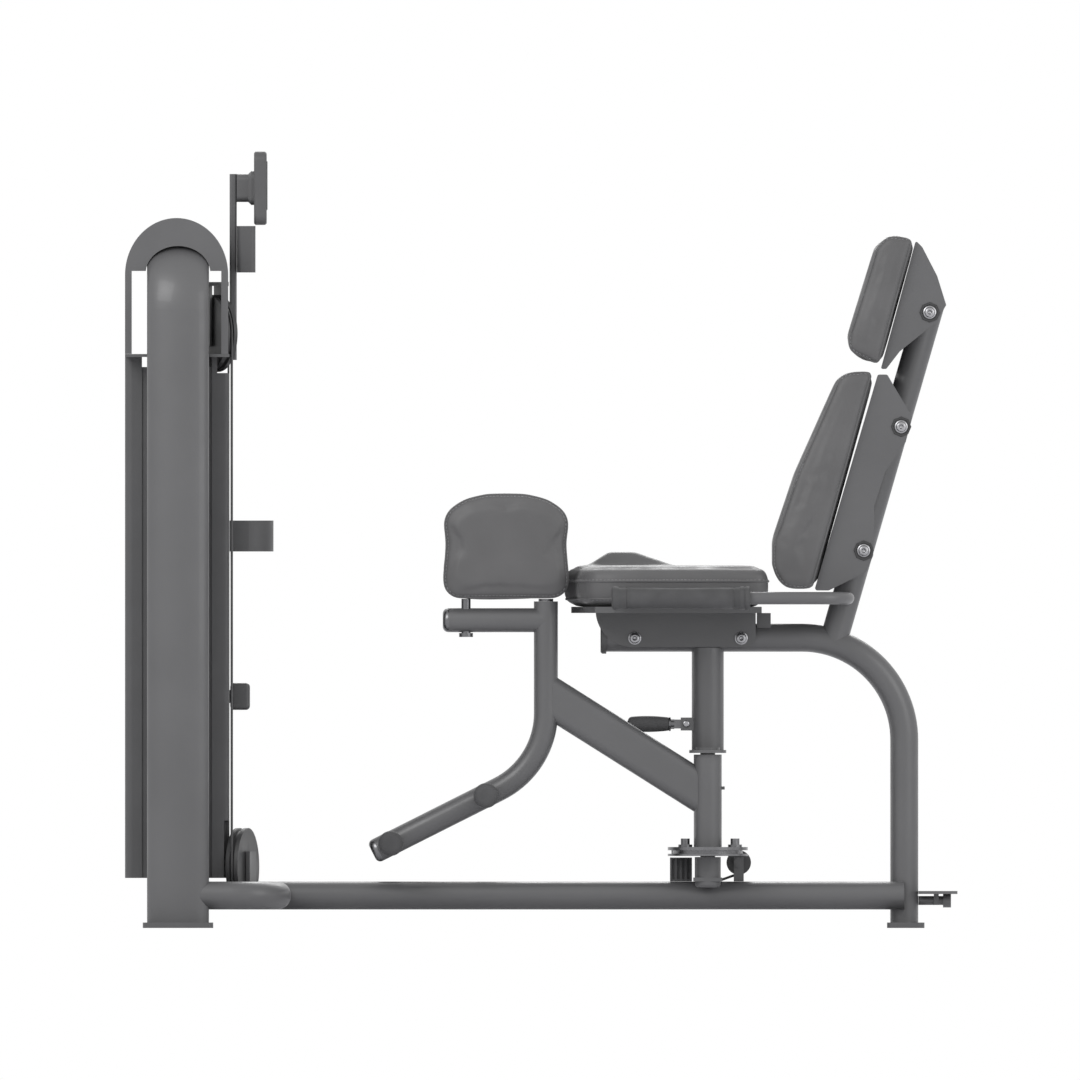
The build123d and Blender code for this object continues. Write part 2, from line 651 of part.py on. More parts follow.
def padded_block(points, half_width, round_r, edge_r):
    face = make_face(Polyline(*points, close=True))
    face = fillet(face.vertices(), round_r)
    pad = profile_xz(face, -half_width, half_width)
    return fillet(pad.faces().sort_by(Axis.Y)[0].edges() + pad.faces().sort_by(Axis.Y)[-1].edges(), edge_r)


def hollow_shell(points, half_width, round_r):
    face = make_face(Polyline(*points, close=True))
    face = fillet(face.vertices(), round_r)
    shell = profile_xz(face, -half_width, half_width)
    cavity = profile_xz(offset(face, -5), -half_width + 5, half_width - 5)
    x0, z0 = along_back(-60)
    x1, z1 = along_back(655)
    tube = rod(TUBE_R + 0.2, (x0, 0, z0), (x1, 0, z1))
    return max((shell - cavity - tube).solids(), key=lambda solid: solid.volume)


BACK_CUSHION = [(668.5, 1116), (605, 1113), (512, 911), (464, 770), (464, 712), (487, 676), (544, 676)]
BACK_SHELL = [(673, 1107), (692, 1107), (742, 1022), (729, 972), (688, 913), (666, 844), (664, 745),
              (650, 712), (575, 675), (546, 675)]
HEAD_CUSHION = [(746.5, 1379), (697, 1388), (672, 1362), (615, 1180), (615, 1152), (675.5, 1122)]
HEAD_SHELL = [(749, 1375), (762, 1362), (792, 1304), (810, 1246), (790, 1212), (717, 1153), (690, 1118),
              (679, 1118)]


def back_cushion():
    return padded_block(BACK_CUSHION, 170, 14, 12)


def head_cushion():
    return padded_block(HEAD_CUSHION, 140, 6, 6)


def back_shell():
    return hollow_shell(BACK_SHELL, 145, 5)


def head_shell():
    return hollow_shell(HEAD_SHELL, 115, 3)


def frame_bolts():
    """Bolts of the seat brackets and back shells, and the lever's pin."""
    pieces = [rod(LEVER_PIN_R, (LEVER_X, -17, LEVER_Z), (LEVER_X, 17, LEVER_Z))]
    for s in (-1, 1):
        for x, y, z in ((187, 35, 579.5), (400, 35, 579.5), (720, 145, 1002.6), (645, 145, 754.8),
                        (777, 115, 1231.4)):
            head = rod(13, (x, s * y, z), (x, s * (y + 8), z))
            pieces.append(fillet(head.edges().group_by(Axis.Y)[0 if s < 0 else -1], 3))
    return group(*pieces)


def end_caps():
    """Plastic caps on the seat beam and the back tube."""
    cap = rod(32, (118.5, 0, BEAM_Z), (BEAM_START, 0, BEAM_Z))
    return fillet(cap.edges().group_by(Axis.X)[0], 5)


def release_lever():
    """Flat tongue on the pin, and the round neck that the grip is pressed on."""
    tongue = block(258, LEVER_X, -8, 8, LEVER_Z - 9, LEVER_Z + 9)
    tongue += rod(9, (LEVER_X, -8, LEVER_Z), (LEVER_X, 8, LEVER_Z))
    tongue -= rod(LEVER_PIN_R + 0.06, (LEVER_X, -20, LEVER_Z), (LEVER_X, 20, LEVER_Z))
    neck = rod(10, (230, 0, LEVER_Z), (266, 0, LEVER_Z)) + rod(14, (255.5, 0, LEVER_Z), (259, 0, LEVER_Z))
    return tongue + neck


def lever_grip():
    grip = rod(16, (171.5, 0, LEVER_Z), (255.5, 0, LEVER_Z))
    grip = fillet(grip.edges().group_by(Axis.X)[0], 8)
    return grip - rod(10, (230, 0, LEVER_Z), (280, 0, LEVER_Z))


# ---------------------------------------------------------------- leg arms

def arm_path(s):
    y = s * PIVOT_Y
    end_z = ARM_CORNER_Z - (ARM_X - ARM_END_X) * sin(radians(ARM_SLOPE)) / cos(radians(ARM_SLOPE))
    points = [(ARM_X, y, ARM_TOP), (ARM_X, y, ARM_CORNER_Z), (ARM_END_X, y, end_z)]
    return FilletPolyline(*points, radius=ARM_BEND)


def arm_bar(s, radius):
    path = arm_path(s)
    return sweep(Plane(origin=path @ 0, z_dir=path % 0) * Circle(radius), path=path)


def peg_places():
    """(X, Z) of the two foot pegs, on the lower arm's centre line."""
    slope = sin(radians(ARM_SLOPE)) / cos(radians(ARM_SLOPE))
    return [(x, ARM_CORNER_Z - (ARM_X - x) * slope) for x in PEG_X]


def arm_tube(s):
    y = s * PIVOT_Y
    bar = rod(ARM_R, (ARM_X, y, CROSSBAR_Z), (CROSSBAR_END, y, CROSSBAR_Z))
    bore = rod(ARM_R - ARM_WALL, (ARM_X, y, CROSSBAR_Z), (CROSSBAR_END - 6, y, CROSSBAR_Z))
    whole = arm_bar(s, ARM_R) + bar - arm_bar(s, ARM_R - ARM_WALL) - bore
    whole -= Pos(PIN_X, y, 580) * Cylinder(PIN_R, 80, align=FROM_BASE)
    for x, z in peg_places():
        spigot = rod(PEG_CORE_R, (x, y - s * 52, z), (x, y + s * 108, z)) - arm_bar(s, ARM_R - ARM_WALL)
        whole += spigot
    return whole


def arm_brace(s):
    y = s * PIVOT_Y
    near, far = Vector(0, y, 473.3), Vector(330, y, 265)
    along = far - near
    start = Plane(origin=near, x_dir=Vector(0, 1, 0), z_dir=along)
    section = SlotOverall(81, 40, rotation=90) - SlotOverall(74, 33, rotation=90)
    beam = extrude(start * section, along.length)
    beam -= arm_bar(s, ARM_R)
    beam -= Pos(PIVOT_X, y, 100) * Cylinder(HUB_R, 400, align=FROM_BASE)
    return max(beam.solids(), key=lambda solid: solid.volume)


def pivot_hub(s):
    y = s * PIVOT_Y
    bore = SHAFT_R + 5
    sleeve = Pos(PIVOT_X, y, HUB_BOTTOM) * Cylinder(HUB_R, HUB_TOP - HUB_BOTTOM, align=FROM_BASE)
    sleeve -= Pos(PIVOT_X, y, 100) * Cylinder(bore, 400, align=FROM_BASE)
    bushes = []
    for z in (HUB_BOTTOM, HUB_TOP - 40):
        ring = Pos(PIVOT_X, y, z) * Cylinder(bore, 40, align=FROM_BASE)
        bushes.append(ring - Pos(PIVOT_X, y, z - 1) * Cylinder(SHAFT_R + 0.06, 50, align=FROM_BASE))
    sleeve += rod(3.2, (PIVOT_X + HUB_R - 2, y, 280), (PIVOT_X + HUB_R + 6, y, 280))
    return group(sleeve, *bushes)


def cable_cam(s):
    """Grooved cam on the hub, with the end of the cable that lies round it and its bolts."""
    low, high = CAM_BOTTOM, CAM_BOTTOM + CAM_T
    groove_low, groove_high = CAM_RUN_Z - 3.5, CAM_RUN_Z + 3.5
    section = Polyline((HUB_R, low), (CAM_R, low), (CAM_R, groove_low), (CAM_GROOVE_R, groove_low),
                       (CAM_GROOVE_R, groove_high), (CAM_R, groove_high), (CAM_R, high), (HUB_R, high),
                       close=True)
    disc = revolve(Plane.XZ * make_face(section), Axis.Z)
    wrap_start = Plane(origin=(72.5, 0, CAM_RUN_Z), x_dir=(1, 0, 0), z_dir=(0, 1, 0)) * Circle(CABLE_R)
    wrap = revolve(wrap_start, Axis.Z, 115)
    wrap = Rot(0, 0, 35 if s < 0 else 210) * wrap
    anchor = Rot(0, 0, 150 * -s) * Pos(75, 0, CAM_RUN_Z) * Box(12, 10, 7)
    piece = disc + wrap + anchor
    for x in (-45, 54.5):
        piece += Pos(x, 0, high) * Cylinder(14, 5, align=FROM_BASE)
        piece += Pos(x, 0, high + 5) * Cylinder(9, 12, align=FROM_BASE)
    return Pos(PIVOT_X, s * PIVOT_Y, 0) * piece


def thigh_pad(s):
    left, right, shoulder = -196.5, 55.5, 838
    sides = Polyline((left, shoulder), (left, PAD_BOTTOM), (right, PAD_BOTTOM), (right, shoulder))
    crown = ThreePointArc((right, shoulder), ((left + right) / 2, PAD_TOP), (left, shoulder))
    face = make_face(sides + crown)
    face = fillet(face.vertices(), 20)
    pad = profile_xz(face, -PAD_T / 2, PAD_T / 2)
    pad = fillet(pad.faces().sort_by(Axis.Y)[0].edges() + pad.faces().sort_by(Axis.Y)[-1].edges(), 14)
    return Pos(0, s * PIVOT_Y, 0) * pad


def foot_pegs(s):
    """Rubber sleeves, outside and inside the lower arm."""
    pieces = []
    for x, z in peg_places():
        for y0, y1, bore_end in ((115, 206, 199), (65, 32, 38)):
            sleeve = rod(PEG_R, (x, s * y0, z), (x, s * y1, z))
            tip = sleeve.edges().sort_by(lambda edge: abs(abs(edge.center().Y) - y1))[0]
            sleeve = fillet(tip, 12)
            pieces.append(sleeve - rod(PEG_CORE_R, (x, s * y0, z), (x, s * bore_end, z)))
    return group(*pieces)


def arm_fasteners(s):
    """Thigh pad pin, nut and collar, and the two domed tube caps."""
    y = s * PIVOT_Y
    nut_z = CROSSBAR_Z - ARM_R - 9.6
    pin = Pos(PIN_X, y, nut_z + 3) * Cylinder(PIN_R, PAD_BOTTOM - nut_z - 3, align=FROM_BASE)
    nut = Pos(PIN_X, y, nut_z) * Cylinder(14, 8, align=FROM_BASE)
    collar_z = ARM_TOP + 0.1
    collar = Pos(ARM_X, y, collar_z) * Cylinder(14.7, PAD_BOTTOM - collar_z, align=FROM_BASE)
    caps = []
    path = arm_path(s)
    for end, out in ((Vector(CROSSBAR_END, y, CROSSBAR_Z), Vector(-1, 0, 0)), (path @ 1, path % 1)):
        cap = Plane(origin=end, z_dir=out) * Cylinder(ARM_R, 13, align=FROM_BASE)
        tip = cap.edges().sort_by(lambda edge: -(edge.center() - end).dot(out))[0]
        caps.append(fillet(tip, 11))
    return group(pin + nut, collar, *caps)


# ---------------------------------------------------------------- files

def write_parts():
    single = [tower_arch, base_rail, base_yoke, foot_plates, seat_spine, back_tube, seat_post, pivot_posts,
              rear_tie, stack_cross_plates, guide_rods, rubber_bumpers, lower_plates, moving_plates,
              head_plate, selector_pin, front_shroud, rear_shroud, hood, pulley_brackets, cables,
              console_post, console_housing, console_screen, accessory_tray, bottle_holder, seat_cushion,
              seat_plate, seat_brackets, handle_tubes, handle_grips, back_cushion, head_cushion, back_shell,
              head_shell, frame_bolts, end_caps, release_lever, lever_grip]
    paired = [top_pulley, bottom_pulley, return_pulley, arm_tube, arm_brace, pivot_hub, cable_cam,
              thigh_pad, foot_pegs, arm_fasteners]
    os.makedirs("parts", exist_ok=True)
    for make in single:
        export_step(make(), "parts/" + make.__name__ + ".step")
    for make in paired:
        for name, s in SIDES.items():
            export_step(make(s), "parts/" + name + "_" + make.__name__ + ".step")


write_parts()
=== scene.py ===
import json
import math

import bmesh
import bpy
from mathutils import Matrix, Vector
from mathutils.bvhtree import BVHTree

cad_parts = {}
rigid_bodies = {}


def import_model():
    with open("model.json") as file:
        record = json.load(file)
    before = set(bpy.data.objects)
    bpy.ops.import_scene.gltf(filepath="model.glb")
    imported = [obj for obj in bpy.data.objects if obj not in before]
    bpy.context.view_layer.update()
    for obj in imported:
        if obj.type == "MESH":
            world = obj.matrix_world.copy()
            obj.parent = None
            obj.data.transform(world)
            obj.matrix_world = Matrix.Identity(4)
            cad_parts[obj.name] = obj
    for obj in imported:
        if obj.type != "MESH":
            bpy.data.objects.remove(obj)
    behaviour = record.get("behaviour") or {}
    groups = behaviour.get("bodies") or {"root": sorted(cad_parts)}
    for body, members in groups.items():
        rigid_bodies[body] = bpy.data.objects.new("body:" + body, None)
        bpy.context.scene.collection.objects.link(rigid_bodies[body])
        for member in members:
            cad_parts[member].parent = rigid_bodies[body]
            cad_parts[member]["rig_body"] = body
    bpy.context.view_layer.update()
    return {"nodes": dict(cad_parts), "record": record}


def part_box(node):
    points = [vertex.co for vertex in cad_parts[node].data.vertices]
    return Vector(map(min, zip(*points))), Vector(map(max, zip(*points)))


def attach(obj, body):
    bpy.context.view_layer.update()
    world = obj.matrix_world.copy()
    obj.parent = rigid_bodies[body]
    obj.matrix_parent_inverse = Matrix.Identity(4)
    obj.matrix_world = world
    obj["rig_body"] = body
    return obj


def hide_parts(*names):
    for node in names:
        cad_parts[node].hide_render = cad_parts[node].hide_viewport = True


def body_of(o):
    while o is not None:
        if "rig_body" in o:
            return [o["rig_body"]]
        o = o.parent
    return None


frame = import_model()
SIDES = {"left": -1, "right": 1}

# Lengths are in metres, light powers in watts.
CAMERA_SPAN = 2.16
CAMERA_PLACE = (-0.0025, -6.0, 0.776)
LIGHT_TARGET = (0, 0, 0.7)
FLOOR_HALF = 6.0

# The noise textures hold nearly all of their values between these two.
NOISE_LOW = 0.3
NOISE_HIGH = 0.7

CORNER_STEPS = 5
TURNED_STEPS = 48
DOME_STEPS = 8
BEVEL_ANGLE = 50

VOXEL = 0.005
SHAPE_SMOOTHING = 4
CLOTH_PRESSURE = 4.0
CLOTH_FRAMES = 20
CLOTH_STIFFNESS = 18
INWARD_LIMIT = 0.0012
COVER_ROOM = 0.003
COVER_SMOOTHING = 3
RIDGE_SMOOTHING = 24

PIPING_RADIUS = 0.0026
PIPING_STEP = 0.006
KINK_ROUNDS = 3
STITCH_GAP = 0.0075
STITCH_ASIDE = 0.0075
STITCH_SIZE = (0.0046, 0.0011, 0.0009)
STITCH_LIFT = 0.0002

GRIP_STEP = 0.0022
TUBE_BORE_RADIUS = 0.0127
PEG_RADIUS = 0.025
ARM_RADIUS = 0.025
ARM_Y = 0.09
PEG_RING_GAP = 0.008
PEG_RING_DEPTH = 0.0012
PEG_DOME = 0.013
PEG_END_ROOM = 0.020
WASHER_THICKNESS = 0.002
RIVET_LIP = 0.001


# ---------------------------------------------------------------- camera, lights and floor

def add_camera():
    data = bpy.data.cameras.new("camera")
    data.type = "ORTHO"
    data.ortho_scale = CAMERA_SPAN
    camera = bpy.data.objects.new("camera", data)
    camera.location = CAMERA_PLACE
    camera.rotation_euler = (math.radians(90), 0, 0)
    bpy.context.collection.objects.link(camera)
    bpy.context.scene.camera = camera


def add_area_light(name, place, size, power):
    data = bpy.data.lights.new(name, "AREA")
    data.shape = "RECTANGLE"
    data.size, data.size_y = size
    data.energy = power
    light = bpy.data.objects.new(name, data)
    light.location = place
    light.rotation_euler = (Vector(LIGHT_TARGET) - Vector(place)).to_track_quat("-Z", "Y").to_euler()
    bpy.context.collection.objects.link(light)


def add_surroundings():
    world = bpy.data.worlds.new("studio")
    bpy.context.scene.world = world
    world.use_nodes = True
    background = world.node_tree.nodes["Background"]
    background.inputs["Color"].default_value = (1.0, 1.0, 1.0, 1)
    background.inputs["Strength"].default_value = 1.0
    bpy.context.scene.view_settings.view_transform = "Standard"
    mesh = bpy.data.meshes.new("floor")
    corners = [(-1, -1), (1, -1), (1, 1), (-1, 1)]
    mesh.from_pydata([(x * FLOOR_HALF, y * FLOOR_HALF, 0) for x, y in corners], [], [(0, 1, 2, 3)])
    floor = bpy.data.objects.new("floor", mesh)
    bpy.context.collection.objects.link(floor)
    floor.data.materials.append(plain_floor())
    add_area_light("key", (-2.4, -3.4, 3.2), (2.4, 2.4), 90)
    add_area_light("fill", (3.2, -2.6, 1.8), (2.0, 2.6), 38)
    add_area_light("back", (0.6, 3.4, 3.0), (3.0, 1.6), 80)


# ---------------------------------------------------------------- materials

class Nodes:
    """A short way to build a node material."""

    def __init__(self, name, metallic=0.0, specular=0.5, coat=0.0, sheen=0.0):
        self.material = bpy.data.materials.new(name)
        self.material.use_nodes = True
        self.tree = self.material.node_tree
        self.shader = self.tree.nodes["Principled BSDF"]
        self.shader.inputs["Metallic"].default_value = metallic
        self.shader.inputs["Specular IOR Level"].default_value = specular
        self.shader.inputs["Coat Weight"].default_value = coat
        self.shader.inputs["Sheen Weight"].default_value = sheen
        self.place = self.add("ShaderNodeTexCoord").outputs["Object"]

    def add(self, kind, **inputs):
        node = self.tree.nodes.new(kind)
        for name, value in inputs.items():
            node.inputs[name.replace("_", " ")].default_value = value
        return node

    def link(self, output, socket):
        self.tree.links.new(output, socket)

    def stretched(self, scale):
        mapping = self.add("ShaderNodeMapping")
        mapping.inputs["Scale"].default_value = scale
        self.link(self.place, mapping.inputs["Vector"])
        return mapping.outputs["Vector"]

    def noise(self, scale, detail=3.0, place=None):
        node = self.add("ShaderNodeTexNoise", Scale=scale, Detail=detail)
        self.link(place or self.place, node.inputs["Vector"])
        return node.outputs["Fac"]

    def cells(self, scale):
        node = self.add("ShaderNodeTexVoronoi", Scale=scale)
        node.feature = "DISTANCE_TO_EDGE"
        self.link(self.place, node.inputs["Vector"])
        return node.outputs["Distance"]

    def between(self, noise, low, high):
        """A noise as a number from low to high."""
        limits = {"From_Min": NOISE_LOW, "From_Max": NOISE_HIGH, "To_Min": low, "To_Max": high}
        node = self.add("ShaderNodeMapRange", **limits)
        self.link(noise, node.inputs["Value"])
        return node.outputs["Result"]

    def tint(self, noise, dark, light):
        """The base colour is a noise from dark to light."""
        ramp = self.add("ShaderNodeValToRGB")
        ramp.color_ramp.elements[0].position = NOISE_LOW
        ramp.color_ramp.elements[1].position = NOISE_HIGH
        ramp.color_ramp.elements[0].color = (*dark, 1)
        ramp.color_ramp.elements[1].color = (*light, 1)
        self.link(noise, ramp.inputs["Fac"])
        self.link(ramp.outputs["Color"], self.shader.inputs["Base Color"])

    def rough(self, noise, low, high):
        self.link(self.between(noise, low, high), self.shader.inputs["Roughness"])

    def bump(self, *layers):
        """Each layer is (height, strength, distance in metres)."""
        normal = None
        for height, strength, distance in layers:
            node = self.add("ShaderNodeBump", Strength=strength, Distance=distance)
            self.link(height, node.inputs["Height"])
            if normal:
                self.link(normal, node.inputs["Normal"])
            normal = node.outputs["Normal"]
        self.link(normal, self.shader.inputs["Normal"])


def grey(value, warm=0.0):
    """A slightly cool grey, or a more neutral one with some warmth."""
    return (value * (1 + warm), value, value * (1.03 - warm))


def plain_floor():
    m = Nodes("pale_floor", specular=0.2)
    m.tint(m.noise(1.2), grey(0.76), grey(0.80))
    m.rough(m.noise(6), 0.7, 0.85)
    return m.material


def powder_coat(name, tone):
    m = Nodes(name, specular=0.5, coat=0.12)
    m.tint(m.noise(5), grey(tone * 0.93), grey(tone * 1.07))
    m.rough(m.noise(14), 0.36, 0.5)
    m.bump((m.noise(420, 2), 0.16, 0.0004), (m.noise(1600, 1), 0.08, 0.0002))
    return m.material


def moulded_plastic(name, tone, low, high):
    m = Nodes(name, specular=0.45)
    m.tint(m.noise(7), grey(tone * 0.94), grey(tone * 1.06))
    m.rough(m.noise(22), low, high)
    m.bump((m.cells(900), 0.18, 0.0003), (m.noise(2200, 1), 0.1, 0.0002))
    return m.material


def upholstery_vinyl():
    m = Nodes("upholstery_vinyl", specular=0.42, sheen=0.06)
    m.tint(m.noise(9, 4), grey(0.070, 0.01), grey(0.084, 0.01))
    m.rough(m.noise(30), 0.4, 0.54)
    m.bump((m.noise(45, 2), 0.12, 0.0012), (m.cells(520), 0.55, 0.0006), (m.noise(1400, 2), 0.15, 0.0002))
    return m.material


def moulded_rubber():
    m = Nodes("moulded_rubber", specular=0.3)
    m.tint(m.noise(18), grey(0.050), grey(0.066))
    m.rough(m.noise(40), 0.62, 0.8)
    m.bump((m.noise(700, 3), 0.3, 0.0004), (m.cells(1200), 0.12, 0.0002))
    return m.material


def plated_steel(name, tone):
    m = Nodes(name, metallic=1.0)
    m.tint(m.noise(16), grey(tone * 0.88), grey(tone * 1.12))
    m.rough(m.noise(900, 2, m.stretched((1, 1, 0.05))), 0.24, 0.38)
    m.bump((m.noise(1500, 2, m.stretched((1, 1, 0.03))), 0.06, 0.0002))
    return m.material


def painted_iron():
    m = Nodes("painted_iron", specular=0.5)
    m.tint(m.noise(30, 5), grey(0.062), grey(0.085))
    m.rough(m.noise(60), 0.38, 0.56)
    m.bump((m.noise(260, 4), 0.35, 0.0007))
    return m.material


def coated_cable():
    m = Nodes("coated_cable", specular=0.5)
    m.tint(m.noise(80), grey(0.03), grey(0.045))
    wave = m.add("ShaderNodeTexWave", Scale=160.0, Distortion=0.0)
    wave.bands_direction = "DIAGONAL"
    m.link(m.place, wave.inputs["Vector"])
    m.rough(m.noise(50), 0.3, 0.42)
    m.bump((wave.outputs["Fac"], 0.4, 0.0004))
    return m.material


def dark_glass():
    m = Nodes("dark_glass", specular=0.4, coat=0.15)
    m.tint(m.noise(3), grey(0.012), grey(0.018))
    m.rough(m.noise(12), 0.05, 0.11)
    m.bump((m.noise(40), 0.02, 0.0002))
    return m.material


def thread():
    m = Nodes("stitching_thread", specular=0.3)
    m.tint(m.noise(300), grey(0.16), grey(0.24))
    m.rough(m.noise(500), 0.6, 0.75)
    m.bump((m.noise(2500, 1), 0.4, 0.0002))
    return m.material


PAINT = powder_coat("frame_powder_coat", 0.080)
PAINT_DARK = powder_coat("bracket_powder_coat", 0.066)
COVER = moulded_plastic("cover_plastic", 0.062, 0.46, 0.6)
SHELL = moulded_plastic("pad_shell_plastic", 0.080, 0.5, 0.64)
# The recess rims' dark tone is painted shade: it stands for the shade inside the shell's bolt recesses, which
# are not cut.
PAINTED_RECESS_SHADE = moulded_plastic("painted_recess_shade", 0.028, 0.5, 0.64)
NYLON = moulded_plastic("pulley_nylon", 0.034, 0.36, 0.5)
KNOB = moulded_plastic("knob_plastic", 0.060, 0.3, 0.42)
VINYL = upholstery_vinyl()
RUBBER = moulded_rubber()
STEEL = plated_steel("zinc_plated_steel", 0.34)
DARK_STEEL = plated_steel("black_zinc_steel", 0.17)
IRON = painted_iron()
CABLE = coated_cable()
SCREEN = dark_glass()
THREAD = thread()

FINISHES = {
    "frame_paint": PAINT, "plated_steel": STEEL, "stack_iron": IRON, "cover_plastic": COVER,
    "screen": SCREEN, "pulley_plastic": NYLON, "vinyl": VINYL, "seat_board": PAINT_DARK,
    "rubber": RUBBER, "knob_plastic": KNOB, "cable": CABLE,
}
OTHER_FINISHES = {
    "seat_brackets": PAINT_DARK, "pulley_brackets": PAINT_DARK, "stack_cross_plates": PAINT_DARK,
    "foot_plates": PAINT_DARK, "back_shell": SHELL, "head_shell": SHELL, "hood": SHELL,
    "handle_tubes": PAINT,
    "left_cable_cam": DARK_STEEL, "right_cable_cam": DARK_STEEL, "release_lever": DARK_STEEL,
    "left_arm_fasteners": DARK_STEEL, "right_arm_fasteners": DARK_STEEL,
}


def finish_cad_nodes():
    slots = {part["node"]: part["material_slot"] for part in frame["record"]["subparts"]}
    for name, node in frame["nodes"].items():
        material = OTHER_FINISHES.get(name, FINISHES[slots[name]])
        node.data.materials.clear()
        node.data.materials.append(material)


# ---------------------------------------------------------------- mesh helpers

def new_object(name, mesh, material=None):
    piece = bpy.data.objects.new(name, mesh)
    bpy.context.collection.objects.link(piece)
    if material:
        mesh.materials.append(material)
    return piece


def from_bmesh(name, bm, material=None):
    mesh = bpy.data.meshes.new(name)
    bmesh.ops.recalc_face_normals(bm, faces=bm.faces)
    bm.to_mesh(mesh)
    bm.free()
    return new_object(name, mesh, material)


def apply_modifiers(piece):
    """Puts what the modifiers make into the piece's own mesh."""
    graph = bpy.context.evaluated_depsgraph_get()
    mesh = bpy.data.meshes.new_from_object(piece.evaluated_get(graph))
    piece.modifiers.clear()
    piece.data = mesh


def smooth_shading(piece):
    for polygon in piece.data.polygons:
        polygon.use_smooth = True


def rounded(points, radii):
    """A closed outline with its corners rounded, one radius for each point."""
    outline = []
    count = len(points)
    for i, radius in enumerate(radii):
        here = Vector(points[i])
        to_last = Vector(points[i - 1]) - here
        to_next = Vector(points[(i + 1) % count]) - here
        half = to_last.angle(to_next) / 2
        cut = min(radius / math.tan(half), 0.48 * to_last.length, 0.48 * to_next.length)
        start = here + to_last.normalized() * cut
        end = here + to_next.normalized() * cut
        for k in range(CORNER_STEPS + 1):
            t = k / CORNER_STEPS
            outline.append(start * (1 - t) ** 2 + here * 2 * t * (1 - t) + end * t ** 2)
    return outline


def prism(name, outline, low, high, axis):
    """An outline given a thickness along Y (outline is X, Z) or along Z (outline is X, Y)."""
    def spot(p, h):
        return (p[0], h, p[1]) if axis == "Y" else (p[0], p[1], h)
    bm = bmesh.new()
    rings = [[bm.verts.new(spot(p, h)) for p in outline] for h in (low, high)]
    count = len(outline)
    for i in range(count):
        j = (i + 1) % count
        bm.faces.new((rings[0][i], rings[0][j], rings[1][j], rings[1][i]))
    bm.faces.new(rings[0])
    bm.faces.new(rings[1])
    return from_bmesh(name, bm)


def bevelled(piece, width, segments):
    modifier = piece.modifiers.new("bevel", "BEVEL")
    modifier.width = width
    modifier.segments = segments
    modifier.use_clamp_overlap = False
    modifier.limit_method = "ANGLE"
    modifier.angle_limit = math.radians(BEVEL_ANGLE)
    apply_modifiers(piece)
    return piece


def lathe(name, profile, start, direction, material, steps=TURNED_STEPS):
    """A turned piece: profile is (distance along the axis, radius), from start along direction."""
    axis = Vector(direction).normalized()
    turn = axis.to_track_quat("Z", "X").to_matrix()
    bm = bmesh.new()
    rings = []
    for along, radius in profile:
        ring = []
        for k in range(steps):
            a = 2 * math.pi * k / steps
            local = Vector((radius * math.cos(a), radius * math.sin(a), along))
            ring.append(bm.verts.new(Vector(start) + turn @ local))
        rings.append(ring)
    for lower, upper in zip(rings, rings[1:]):
        for k in range(steps):
            m = (k + 1) % steps
            bm.faces.new((lower[k], lower[m], upper[m], upper[k]))
    bm.faces.new(rings[0])
    bm.faces.new(rings[-1])
    piece = from_bmesh(name, bm, material)
    smooth_shading(piece)
    return piece


def joined(name, pieces):
    """Several meshes as one piece, keeping their materials."""
    bm = bmesh.new()
    materials = []
    for piece in pieces:
        first = len(bm.faces)
        bm.from_mesh(piece.data)
        bm.faces.ensure_lookup_table()
        slots = list(piece.data.materials)
        for m in slots:
            if m not in materials:
                materials.append(m)
        for face in bm.faces[first:]:
            if slots:
                face.material_index = materials.index(slots[face.material_index])
    mesh = bpy.data.meshes.new(name)
    bm.to_mesh(mesh)
    bm.free()
    for m in materials:
        mesh.materials.append(m)
    for piece in pieces:
        bpy.data.objects.remove(piece)
    return new_object(name, mesh)


# ---------------------------------------------------------------- upholstery

def soften(piece, times):
    modifier = piece.modifiers.new("soften", "SMOOTH")
    modifier.factor = 0.5
    modifier.iterations = times


def remesh(piece):
    """Makes joined shapes one even skin with its edges eased."""
    modifier = piece.modifiers.new("remesh", "REMESH")
    modifier.mode = "VOXEL"
    modifier.voxel_size = VOXEL
    soften(piece, SHAPE_SMOOTHING)
    apply_modifiers(piece)


def inflate(piece, cap):
    """Swells the cover by cloth simulation, no point further out than cap or in than INWARD_LIMIT."""
    scene = bpy.context.scene
    before = [(v.co.copy(), v.normal.copy()) for v in piece.data.vertices]
    cloth = piece.modifiers.new("cloth", "CLOTH")
    settings = cloth.settings
    settings.quality = 4
    settings.mass = 0.3
    settings.tension_stiffness = CLOTH_STIFFNESS
    settings.compression_stiffness = CLOTH_STIFFNESS
    settings.shear_stiffness = 8
    settings.bending_stiffness = 0.8
    settings.use_pressure = True
    settings.uniform_pressure_force = CLOTH_PRESSURE
    settings.effector_weights.gravity = 0
    cloth.point_cache.frame_start = 1
    cloth.point_cache.frame_end = CLOTH_FRAMES
    for step in range(1, CLOTH_FRAMES + 1):
        scene.frame_set(step)
    apply_modifiers(piece)
    scene.frame_set(1)
    for vertex, (old, normal) in zip(piece.data.vertices, before):
        move = vertex.co - old
        out = move.dot(normal)
        move += normal * (min(max(out, -INWARD_LIMIT), cap) - out)
        if move.length > cap:
            move = move.normalized() * cap
        vertex.co = old + move


def kept_inside(piece, low, high):
    """Moves every point that is outside a box onto its side."""
    for vertex in piece.data.vertices:
        for axis in range(3):
            vertex.co[axis] = min(max(vertex.co[axis], low[axis]), high[axis])


